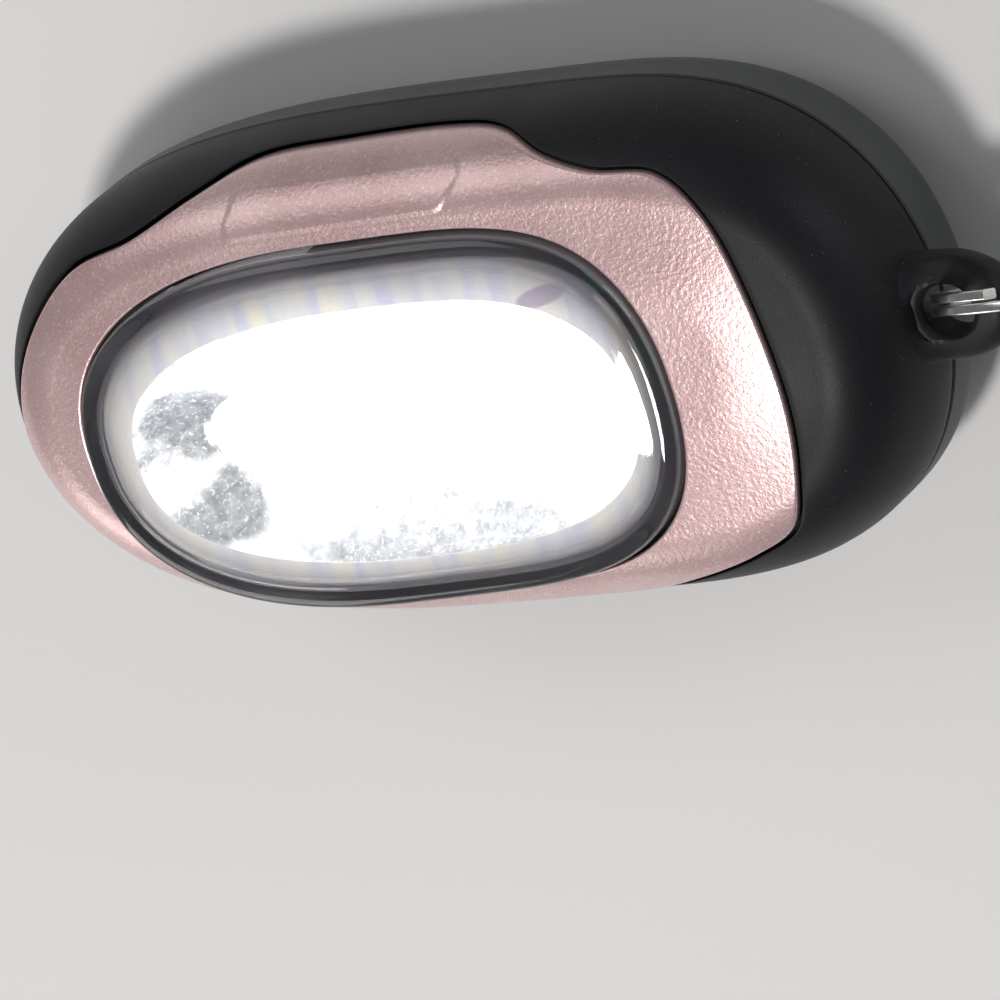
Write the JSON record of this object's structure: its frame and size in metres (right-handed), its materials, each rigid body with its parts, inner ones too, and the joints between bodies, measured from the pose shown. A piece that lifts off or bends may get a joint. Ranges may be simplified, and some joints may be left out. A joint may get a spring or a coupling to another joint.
{
  "type": "key ring light",
  "caption": "Pocket COB light: egg-shaped black case, rose trim plate, oval clear lens and a split ring at one end.",
  "frame": {"origin": "on the flat back, midway between the push button and the battery cover", "axes": "+Z out through the lens, -X towards the lug and split ring, -Y towards the raised name panel"},
  "size_m": [0.0929, 0.0362, 0.0198],
  "materials": {
    "case_front_black": "soft matt black",
    "case_rear_black": "soft matt black",
    "plate_rose": "rose-pink metallic, fine speckle",
    "lens_clear": "clear, polished",
    "reflector_bright": "bright metallised, speckled",
    "cob_aluminium": "plain",
    "cob_light": "lit, white",
    "driver_board_green": "solder mask",
    "chip_black": "moulded",
    "resistor_body": "glazed top",
    "switch_housing": "moulded",
    "switch_stem": "moulded",
    "button_rubber": "matt",
    "retainer_plastic": "natural",
    "holder_plastic": "moulded",
    "cell_steel": "brushed can",
    "spring_plated": "nickel plated",
    "contact_plated": "tin plated",
    "cover_black": "soft matt black",
    "seal_silicone": "matt",
    "lead_red": "smooth",
    "lead_black": "smooth",
    "screw_black_zinc": "black zinc",
    "ring_nickel": "bright nickel"
  },
  "bodies": {
    "case": {"rear_shell": "case_rear_black", "front_shell": "case_front_black", "trim_plate": "plate_rose", "lens": "lens_clear", "reflector": "reflector_bright", "cob_board": "cob_aluminium", "cob_phosphor": "cob_light", "driver_board": "driver_board_green", "driver_chip": "chip_black", "series_resistor": "resistor_body", "switch_body": "switch_housing", "button_retainer": "retainer_plastic", "cell_holder": "holder_plastic", "cell_lower": "cell_steel", "cell_upper": "cell_steel", "contact_spring": "spring_plated", "positive_contact": "contact_plated", "lead_positive": "lead_red", "lead_negative": "lead_black", "case_screw_1": "screw_black_zinc", "case_screw_2": "screw_black_zinc", "case_screw_3": "screw_black_zinc", "case_screw_4": "screw_black_zinc"},
    "cover": {"battery_cover": "cover_black", "cover_seal": "seal_silicone"},
    "button": {"power_button": "button_rubber"},
    "plunger": {"switch_plunger": "switch_stem"},
    "ring": {"key_ring": "ring_nickel"}
  },
  "joints": [
    {"name": "key_ring_swing", "type": "hinge", "parent": "case", "child": "ring", "pos_m": [-0.03016, 0, 0.01025], "axis": [0, 1, 0], "range_deg": [-4, 16]},
    {"name": "power_button_press", "type": "slide", "parent": "case", "child": "button", "axis": [0, 0, 1], "range_m": [0, 0.0005], "stiffness_N_per_m": 2000, "springref_m": -0.0001},
    {"name": "switch_plunger_press", "type": "slide", "parent": "case", "child": "plunger", "axis": [0, 0, 1], "range_m": [0, 0.0005]},
    {"name": "battery_cover_turn", "type": "hinge", "parent": "case", "child": "cover", "pos_m": [0.01674, 0, 0.00015], "axis": [0, 0, -1], "range_deg": [0, 45]}
  ],
  "couplings": [
    {"joint": "switch_plunger_press", "follows": "power_button_press", "ratio": 1}
  ]
}
